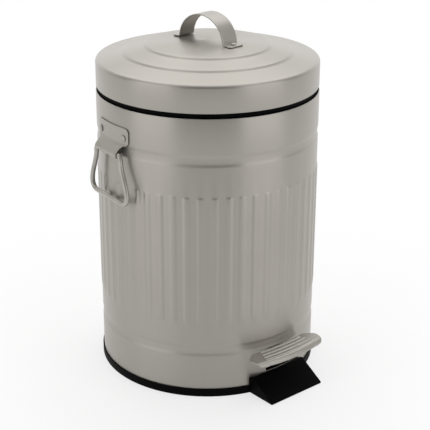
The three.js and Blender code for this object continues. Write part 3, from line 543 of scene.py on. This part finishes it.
def makeBucket():
    b = bucket
    corner = arc(b["bottom"] - b["corner"], b["low"] + b["corner"], b["corner"], b["corner"], -90, 0, 6)
    inner = [(r - b["wall"] * (0.1 + 0.9 * i / 6), z + b["wall"] * (1 - 0.9 * i / 6))
             for i, (r, z) in enumerate(corner)]        # the same corner, a wall further in
    mouth = b["top"] - b["wall"]
    pail = turned("bin_bucket", [(0, b["low"])] + corner + [
        (b["top"], b["flangeLow"]), (b["flange"], b["flangeLow"]), (b["flange"], b["flangeHigh"] - b["edge"]),
        (b["flange"] - b["edge"], b["flangeHigh"]), (mouth + 1, b["flangeHigh"]), (mouth, b["flangeHigh"] - 1),
    ] + inner[::-1] + [(0, b["low"] + b["wall"])])
    cutWith(pail, bar((-b["notch"], b["notchStart"], b["flangeLow"] - 1),
                      (b["notch"], b["flange"] + 2, b["flangeHigh"] + 1)))
    for x in (-b["wireRadius"], b["wireRadius"]):
        cutWith(pail, drill(b["wire"] + b["wireRoom"], (x, 0, b["flangeLow"] - 2), (x, 0, b["flangeHigh"] + 2), 24))
    finishMesh(pail, outward=False)
    finishPiece(pail, "pail", "bin", "inner_bucket")


def makeBucketWire():
    b, r = bucket, bucket["wireRadius"]
    high = b["flangeHigh"] + b["wireRoom"] + b["wire"]
    halfStep = 90 / b["wireSteps"]
    bow = [(x, y, high) for x, y in arc(0, 0, r, r, halfStep - 180, -halfStep, b["wireSteps"] - 1)]
    route = [(-r, 0, b["wireTail"]), (-r, 0, high - b["wireDip"])] + bow
    route += [(r, 0, high - b["wireDip"]), (r, 0, b["wireTail"])]
    finishPiece(wirePiece("bucket_wire", route, b["wire"]), "zinc", "bin", "bucket_bail")


makeBucket()
makeBucketWire()
print("rim and bucket done")

# lid: a straight skirt, a rounded shoulder, a low cone with two steps and a shallow crown
lid = {
    "radius": 102.2, "bottom": 271.1, "skirt": 21.4, "sheet": 0.8, "edge": 0.5,
    "shoulderDrop": 3.5, "shoulderDepth": 3.7, "shoulderTurn": 78, "rise": 0.208,
    "steps": (77.8, 57.6), "stepWidth": 3.0, "stepRise": 1.5, "crown": 56.8, "crownRise": 3.0,
    "coneRadii": (94, 90, 85, 81), "betweenSteps": (6, 12), "crownRadii": (50, 42, 34, 26, 18, 10, 4, 0),
}
lidShoulder = lid["radius"] - lid["shoulderDepth"]
lidKnee = lid["bottom"] + lid["skirt"]


def lidHeight(r):                   # the top's height at a radius
    height = lidKnee + lid["shoulderDrop"] + lid["rise"] * (lidShoulder - max(r, lid["crown"]))
    for middle in lid["steps"]:
        height += lid["stepRise"] * smooth((middle + lid["stepWidth"] / 2 - r) / lid["stepWidth"])
    return height + lid["crownRise"] * (1 - min(r / lid["crown"], 1) ** 2)


def makeLid():
    d = lid
    rim, sheet, edge, low, turn = d["radius"], d["sheet"], d["edge"], d["bottom"], d["shoulderTurn"]
    depth, drop = d["shoulderDepth"], d["shoulderDrop"]
    outerStep, innerStep = [[middle + d["stepWidth"] * (0.5 - k / 8) for k in range(9)] for middle in d["steps"]]
    radii = [*d["coneRadii"], *outerStep, *[d["steps"][0] - off for off in d["betweenSteps"]], *innerStep,
             *d["crownRadii"]]
    top = [(r, lidHeight(r)) for r in radii]
    outside = [(rim - edge, low), (rim - edge * 0.3, low + edge * 0.3), (rim, low + edge)]
    outside += arc(lidShoulder, lidKnee, depth, drop, 0, turn, 8) + top
    inside = [(max(r - sheet * (0.9 if r > 90 else 0.15), 0), z - sheet)
              for r, z in top[::-1]]                    # the inner face, further in near the shoulder
    inside += arc(lidShoulder, lidKnee, depth - sheet, drop - sheet, turn, 0, 8)
    inside += [(rim - sheet, low + edge), (rim - edge, low)]
    finishPiece(turned("bin_lid", outside + inside, 256), "grained", "lid", "lid_shell")


makeLid()

# liner: the black hoop inside the lid, open at the back for the lift arm
liner = {"outer": 101.1, "inner": 96.2, "low": 273.9, "high": 280.9, "edge": 0.6, "notch": 16.5}


def makeLiner():
    n = liner
    hoop = turned("lid_hoop", [
        (n["inner"] + n["edge"], n["low"]), (n["outer"], n["low"]), (n["outer"], n["high"]),
        (n["inner"], n["high"]), (n["inner"], n["low"] + n["edge"]), (n["inner"] + n["edge"], n["low"]),
    ])
    cutWith(hoop, bar((-n["notch"], 5, n["low"] - 1), (n["notch"], 110, n["high"] + 1)))
    finishMesh(hoop, outward=False)
    finishPiece(hoop, "plastic", "lid", "lid_liner")


makeLiner()
print("lid done")

# rivets: a domed head and a flat tail, modelled once for each grip and copied to its places
rivetShape = {"head": 3.2, "dome": 1.3, "shank": 1.5, "tail": 2.5, "tailHigh": 0.8, "tailEdge": 0.2}


def makeRivet(grip, **changes):
    v = {**rivetShape, **changes}
    end, edge = -grip - v["tailHigh"], v["tailEdge"]
    dome = arc(0, 0.25 * v["dome"], v["head"], 0.75 * v["dome"], 0, 90, 8)
    return turned("rivet", [
        (0, end), (v["tail"] - edge, end), (v["tail"], end + edge), (v["tail"], -grip), (v["shank"], -grip),
        (v["shank"], 0), (v["head"], 0),
    ] + dome, 32, 40)


def setRivets(rivet, bodyName, places):
    for node, place in places.items():
        finishPiece(copyOf(rivet, node + "_dome", place), "painted", bodyName, node)


def onWall(angle, radius, height):  # a place on a round wall, for a rivet that points outwards
    return outwards(angle, radius, height) @ Matrix.Rotation(math.pi / 2, 4, "Y")


# strap handle on the lid, with its two riveted ends
strap = {
    "turn": 6.0, "half": 9.25, "sheet": 1.0, "span": 73.0, "legs": 53.0, "height": 24.6, "corner": 3.0,
    "bend": 1.6, "toe": (0.5, 0.25), "seat": 0.3, "edge": 0.2, "rivetInset": 4.8, "rivetSunk": 0.6,
    "rivetHead": 2.4, "rivetShank": 1.2, "rivetGrip": 2.7,
}


def makeStrap():
    p = strap
    end, leg = p["span"] / 2, p["legs"] / 2
    seat, seatEnd = lidHeight(leg) + p["seat"], lidHeight(end) + p["seat"]
    out, up = p["toe"]
    feet = [(-end + (end - leg - p["bend"]) * i / 10, seatEnd + (seat - seatEnd) * i / 10) for i in range(11)]
    feet.append((-leg - out, seat + up))
    arch = arc(0, seat, leg, p["height"] - p["sheet"], 180, 0, 40)[1:-1]
    line = feet + arch + [(-y, z) for y, z in feet[::-1]]

    def shape(across, along):
        y, z = line[round(along * (len(line) - 1))]
        fromEnd = end - abs(y)
        half = p["half"]
        if fromEnd < p["corner"]:
            half -= p["corner"] - circleSide(p["corner"], p["corner"] - fromEnd)
        return across * half, y, z

    sheet = gridSheet("lid_strap", len(line) - 1, 8, shape)
    thicken(sheet, p["sheet"], 1 if sheet.data.polygons[0].normal.z > 0 else -1)
    roundEdges(sheet, p["edge"], 2, 60)
    finishMesh(sheet, 50, outward=False)
    turn = Matrix.Rotation(math.radians(p["turn"]), 4, "Z")
    finishPiece(settle(sheet, turn), "painted", "lid", "strap_handle")
    y = end - p["rivetInset"]
    high = lidHeight(y) + p["rivetSunk"] + p["sheet"]
    lean = math.atan(2 * lid["crownRise"] * y / lid["crown"] ** 2)
    rivet = makeRivet(p["rivetGrip"], head=p["rivetHead"], shank=p["rivetShank"], tail=p["rivetHead"])
    for name, side in (("front", -1), ("rear", 1)):
        foot = Matrix.Translation(Vector((0, side * y, high)) * mm) @ Matrix.Rotation(-side * lean, 4, "X")
        setRivets(rivet, "lid", {f"strap_rivet_{name}": turn @ foot})
    discard(rivet)


makeStrap()
print("strap done")

# side handles: a riveted plate that ends in a rolled tube, and a wire bail through it
handle = {
    "angle": 95.5, "wall": 102.8, "sheet": 1.0, "edge": 0.25, "half": 24.5, "top": 249.5, "low": 233.5,
    "midRows": (244, 241), "corner": 4.2, "bowReach": 7.0, "neckTop": 234.6, "neckTurn": 39.5, "curlEnd": -200,
    "rollHalf": 17.5, "rollZ": 225.5, "rollX": 106.7, "rollInner": 2.6,
    "rivetSpread": 37.0, "rivetZ": 240.1, "rivetSeat": 104.1, "rivetGrip": 2.7,
    "wire": 2.2, "wireKnee": 5.0, "wireCorner": 8.0, "topHalf": 21.0, "wideHalf": 30.5, "drop": 44.5,
}


def plateHalf(z):                   # half the plate's width at a height
    h, c = handle, handle["corner"]
    if z > h["top"] - c:
        return h["half"] - c + circleSide(c, z - h["top"] + c)
    if z > h["low"]:
        return h["half"] - c + circleSide(c, max(h["low"] + c - z, 0))
    fillet = h["half"] - c - h["rollHalf"]
    return h["rollHalf"] + fillet * (1 - circleSide(1, max(c - h["low"] + z, 0) / c))


def makeBracket():                  # seen along +X, with its back on the round wall
    h, c = handle, handle["corner"]
    middle = h["wall"] + h["sheet"] / 2
    roll = h["rollInner"] + h["sheet"] / 2
    heights = [z for _, z in arc(0, h["top"] - c, c, c, 90, 0, 8)] + list(h["midRows"])
    heights += [z for _, z in arc(0, h["low"] + c, c, c, 0, -90, 8)]
    heights += [z for _, z in arc(0, h["low"] - c, c, c, 90, 0, 8)[1:]]
    curl = arc(h["rollX"] - middle, h["rollZ"], roll, roll, h["neckTurn"], h["curlEnd"], 30)
    slope = curl[0][0] / (h["neckTop"] - curl[0][1])
    section = [(max(0, (h["neckTop"] - z) * slope), z) for z in heights] + curl

    def shape(across, along):
        index = round(along * (len(section) - 1))
        x, z = section[index]
        onPlate = index < len(heights)
        t = across * (plateHalf(z) if onPlate else h["rollHalf"])
        bowed = smooth((z - h["low"] + c) / h["bowReach"]) if onPlate else 0
        return middle + x + bowed * (circleSide(middle, t) - middle), t, z

    plate = gridSheet("handle_plate", len(section) - 1, 24, shape)
    thicken(plate, h["sheet"], 0)
    roundEdges(plate, h["edge"], 2, 60)
    return finishMesh(plate, 50, outward=False)


def makeBail():                     # its two ends meet inside the rolled tube
    h, knee, corner = handle, handle["wireKnee"], handle["wireCorner"]
    narrow, wide, drop = h["topHalf"], h["wideHalf"], -h["drop"]
    half = [(0.5, 0), (6, 0), (narrow - knee, 0)] + arc(narrow - knee, -knee, knee, knee, 90, 0, 8)[1:]
    for share in [i / 15 for i in range(1, 16)]:
        half.append((narrow + (wide - narrow) * smooth(share), -knee + (drop + corner + knee) * share))
    half += arc(wide - corner, drop + corner, corner, corner, 0, -90, 10)[1:]
    points = [(-y, z) for y, z in half] + [(0, drop)] + half[::-1]
    return wirePiece("handle_wire", [(h["rollX"], y, h["rollZ"] + z) for y, z in points], h["wire"], 6)


def makeHandles():
    h = handle
    plate, wire, rivet = makeBracket(), makeBail(), makeRivet(h["rivetGrip"])
    rivetTurn = math.degrees(h["rivetSpread"] / 2 / body["radius"])
    for name, side in (("left", -1), ("right", 1)):
        angle = -90 + side * h["angle"]
        bracket = copyOf(plate, f"handle_plate_{name}", outwards(angle))
        finishPiece(bracket, "painted", "bin", f"handle_bracket_{name}")
        bail = copyOf(wire, f"handle_wire_{name}", outwards(angle))
        finishPiece(bail, "wire", f"{name}_bail", f"bail_{name}")
        setRivets(rivet, "bin", {
            f"handle_rivet_{name}_{place}": onWall(angle + way * rivetTurn, h["rivetSeat"], h["rivetZ"])
            for place, way in (("front", -side), ("rear", side))})
    discard(plate, wire, rivet)


makeHandles()
print("handles done")

# lid hinge at the back, and the lifting gear inside: the CAD's pieces with their edges eased
gear = {                            # body, finish and width of the eased edge
    "hinge_bracket_body": ("bin", "painted", 0.25), "hinge_bracket_lid": ("lid", "painted", 0.25),
    "hinge_pin": ("bin", "zinc", 0.3), "lift_arm": ("lid", "zinc", 0.2), "lift_rod": ("rod", "zinc", 0.2),
    "rod_guide_lower": ("bin", "plastic", 0.4), "rod_guide_upper": ("bin", "plastic", 0.4),
    "pedal_lever": ("pedal", "zinc", 0.3), "lever_pin": ("bin", "zinc", 0.3),
    "foot_screw_left": ("bin", "zinc", 0.2), "foot_screw_right": ("bin", "zinc", 0.2),
}
backRivets = {                      # each is at so far aside from the back's middle line, and so high
    "bodyLeaf": {"body": "bin", "grip": 2.7, "tail": 2.5, "seat": 104.1, "wall": body["radius"],
                 "at": {"hinge_rivet_body_left": (14, 247.5), "hinge_rivet_body_right": (-14, 247.5)}},
    "lidLeaf": {"body": "lid", "grip": 4.0, "tail": 2.5, "seat": 103.8, "wall": lid["radius"],
                "at": {"hinge_rivet_lid_left": (10, 284.5), "hinge_rivet_lid_right": (-10, 284.5)}},
    "rodGuides": {"body": "bin", "grip": 5.6, "tail": 1.5, "seat": 102.8, "wall": body["radius"],
                  "at": {"guide_rivet_lower": (0, 62), "guide_rivet_upper": (0, 206)}},
}


def easeNode(node, bodyName, finish, width):
    pick(frame["nodes"][node])
    bpy.ops.object.duplicate()
    piece = named(bpy.context.object, node + "_eased")
    bpy.ops.object.parent_clear(type="CLEAR_KEEP_TRANSFORM")
    settle(piece)
    bpy.ops.object.mode_set(mode="EDIT")
    bpy.ops.mesh.select_all(action="SELECT")
    bpy.ops.mesh.remove_doubles(threshold=0.001 * mm)
    bpy.ops.mesh.dissolve_limited(angle_limit=math.radians(1))
    bpy.ops.object.mode_set(mode="OBJECT")
    roundEdges(piece, width, 2, 40)
    bpy.ops.object.shade_smooth_by_angle(angle=math.radians(35))
    finishPiece(piece, finish, bodyName, node)


def rivetBack(row):
    places = {node: onWall(90 + math.degrees(aside / row["wall"]), row["seat"], high)
              for node, (aside, high) in row["at"].items()}
    rivet = makeRivet(row["grip"], tail=row["tail"])
    setRivets(rivet, row["body"], places)
    discard(rivet)


for node, settings in gear.items():
    easeNode(node, *settings)
for row in backRivets.values():
    rivetBack(row)
print("hinge and lifting gear done")

# pedal: a pressed plate with rounded ends, ridges along it and a front margin that rolls down
pedal = {
    "top": 41.5, "sheet": 1.3, "rows": 128, "columns": 96,
    "rearHalf": 31.5, "rearMiddle": -103.7, "rearEnd": -101.6, "tipHalf": 41.5, "tipRow": 0.62,
    "frontMiddle": -125.4, "frontEnd": -121.0, "frontBow": 2.4, "corner": 5.5, "cornerRow": 0.5,
    "rollRow": 0.76, "roll": 80, "rollDeep": 5.0, "rollDrop": 4.6,
    "ridges": 4, "ridgeStart": 2.0, "ridgePitch": 4.6, "ridgeHigh": 0.9, "ridgeWide": 1.25, "ridgeHalf": 25.0,
    "ridgeStagger": 1.6,
}


def pedalPoint(across, along):      # along runs from the rear edge over the flat part and down the roll
    p = pedal
    row = min(along / p["rollRow"], 1)
    turn = math.radians(p["roll"] * max(along - p["rollRow"], 0) / (1 - p["rollRow"]))
    end = math.radians(p["roll"])
    half = p["rearHalf"] + (p["tipHalf"] - p["rearHalf"]) * math.sin(math.pi / 2 * min(row / p["tipRow"], 1))
    cornerShare = max(along - p["cornerRow"], 0) / (1 - p["cornerRow"])
    x = across * (half - p["corner"] * (1 - circleSide(1, cornerShare)))
    rear = p["rearMiddle"] + (p["rearEnd"] - p["rearMiddle"]) * across ** 2
    bow = (p["frontEnd"] - p["frontMiddle"]) * abs(across) ** p["frontBow"]
    front = p["frontMiddle"] + p["rollDeep"] + bow
    y = rear + (front - rear) * row - p["rollDeep"] * math.sin(turn) / math.sin(end)
    z = p["top"] - p["rollDrop"] * (1 - math.cos(turn)) / (1 - math.cos(end))
    deep = row * (p["rearMiddle"] - p["frontMiddle"] - p["rollDeep"])
    for i in range(p["ridges"]):
        off = (deep - p["ridgeStart"] - i * p["ridgePitch"]) / p["ridgeWide"]
        reach = p["ridgeHalf"] + i * p["ridgeStagger"]
        z += p["ridgeHigh"] * math.exp(-off ** 2) * (1 - smooth((abs(x) - reach + 1) / 2))
    return x, y, z


def makePedal():
    plate = gridSheet("pedal_pressing", pedal["rows"], pedal["columns"], pedalPoint)
    upward = sum(face.normal.z for face in plate.data.polygons) > 0
    thicken(plate, pedal["sheet"], -1 if upward else 1, False)
    finishMesh(plate, 45, outward=False)
    finishPiece(plate, "painted", "pedal", "pedal_plate")


makePedal()
print("pedal done")

# camera at the photograph's place
camera = {"place": (-0.6783, -0.8083, 0.5653), "heading": -40.39, "down": 22.0, "roll": 0.21, "lens": 99.3}


def makeCamera():
    bpy.ops.object.camera_add()
    eye = bpy.context.object
    eye.data.lens = camera["lens"]
    eye.data.sensor_width = 36
    eye.matrix_world = (Matrix.Translation(camera["place"])
                        @ Matrix.Rotation(math.radians(camera["heading"]), 4, "Z")
                        @ Matrix.Rotation(math.radians(90 - camera["down"]), 4, "X")
                        @ Matrix.Rotation(math.radians(camera["roll"]), 4, "Z"))
    bpy.context.scene.camera = eye


# floor, white room and softboxes: metres, watts, and degrees from the bin's front
lamps = {
    "leftBox": {"turn": -95, "high": 0.6, "far": 1.5, "size": (1.3, 1.8), "power": 8},
    "rightBox": {"turn": 16, "high": 0.6, "far": 1.5, "size": (1.3, 1.8), "power": 8},
    "topBox": {"turn": 140, "high": 1.8, "far": 0.5, "size": (2.2, 2.2), "power": 18},
}
lampAim = Vector((0, 0, 0.16))
room = {                            # behind, side and front: the place between back and camera, and the level there
    "level": 1.2, "behind": (0.1, 1.0), "side": (0.45, 0.37), "front": (1.0, 0.13),
    "cameraSide": (-0.643, -0.766, 0.0),         # level, from the bin towards the camera
    "floorSize": 12, "floorZ": -0.0002, "floor": 0.92, "glow": 0.68, "shadowReach": (0.15, 0.42),
}


def whiteSeen(tree):                # 1 where the camera, a reflection or light through clear stuff looks
    light = addNode(tree, "ShaderNodeLightPath")
    direct, glossy, clear = [light.outputs[f"Is {ray} Ray"] for ray in ("Camera", "Glossy", "Transmission")]
    first = addNode(tree, "ShaderNodeMath", {"operation": "MAXIMUM"}, {0: direct, 1: glossy})
    return addNode(tree, "ShaderNodeMath", {"operation": "MAXIMUM"}, {0: first, 1: clear})


def makeFloor():                    # matt, and white to the eye away from the bin's shadow
    deselect()
    bpy.ops.mesh.primitive_plane_add(size=room["floorSize"], location=(0, 0, room["floorZ"]))
    floor = named(bpy.context.object, "floor")
    material, tree, place = newMaterial("whiteFloor")
    near, far = room["shadowReach"]
    away = addNode(tree, "ShaderNodeVectorMath", {"operation": "LENGTH"}, {0: place}).outputs["Value"]
    glowing = addNode(tree, "ShaderNodeMapRange", {
        "interpolation_type": "SMOOTHSTEP", "From Min": near, "From Max": far, "To Min": room["glow"], "To Max": 1.0,
    }, {"Value": away})
    share = addNode(tree, "ShaderNodeMath", {"operation": "MULTIPLY"}, {0: whiteSeen(tree), 1: glowing})
    matt = addNode(tree, "ShaderNodeBsdfDiffuse", {"Color": grey(room["floor"])})
    glow = addNode(tree, "ShaderNodeEmission", {"Color": grey(1), "Strength": 1.0})
    mixed = addNode(tree, "ShaderNodeMixShader", {}, {0: share, 1: matt, 2: glow})
    addNode(tree, "ShaderNodeOutputMaterial", {}, {"Surface": mixed})
    floor.data.materials.append(material)


def makeWorld():                    # bright behind the bin, greyer towards the camera's side
    world = bpy.data.worlds.new("whiteRoom")
    bpy.context.scene.world = world
    world.use_nodes = True
    tree = world.node_tree
    tree.nodes.clear()
    way = addNode(tree, "ShaderNodeTexCoord").outputs["Generated"]
    facing = addNode(tree, "ShaderNodeVectorMath", {"operation": "DOT_PRODUCT", 1: room["cameraSide"]}, {0: way})
    share = addNode(tree, "ShaderNodeMapRange", {"From Min": -1, "From Max": 1, "To Min": 0, "To Max": 1},
                    {"Value": facing.outputs["Value"]})
    stops = [(place, grey(level)) for place, level in (room["behind"], room["side"], room["front"])]
    level = addNode(tree, "ShaderNodeValToRGB", {"stops": stops}, {"Fac": share})
    dim = addNode(tree, "ShaderNodeBackground", {"Strength": room["level"]}, {"Color": level})
    white = addNode(tree, "ShaderNodeBackground", {"Color": grey(1), "Strength": 1.0})
    seen = addNode(tree, "ShaderNodeLightPath").outputs["Is Camera Ray"]
    mixed = addNode(tree, "ShaderNodeMixShader", {}, {0: seen, 1: dim, 2: white})
    addNode(tree, "ShaderNodeOutputWorld", {}, {"Surface": mixed})


def makeLamps():
    for name, lamp in lamps.items():
        turn, far = math.radians(lamp["turn"]), lamp["far"]
        place = Vector((math.sin(turn) * far, -math.cos(turn) * far, lamp["high"]))
        bpy.ops.object.light_add(type="AREA", location=place)
        box = bpy.context.object
        box.name = name
        box.data.shape = "RECTANGLE"
        box.data.size, box.data.size_y = lamp["size"]
        box.data.energy = lamp["power"]
        box.rotation_euler = (lampAim - place).to_track_quat("-Z", "Y").to_euler()


deselect()
makeCamera()
makeFloor()
makeWorld()
makeLamps()
bpy.context.scene.view_settings.view_transform = "Standard"
for node, solid in frame["nodes"].items():
    if not solid.hide_render:
        print("left as CAD:", node)
print("camera, floor and lamps done")
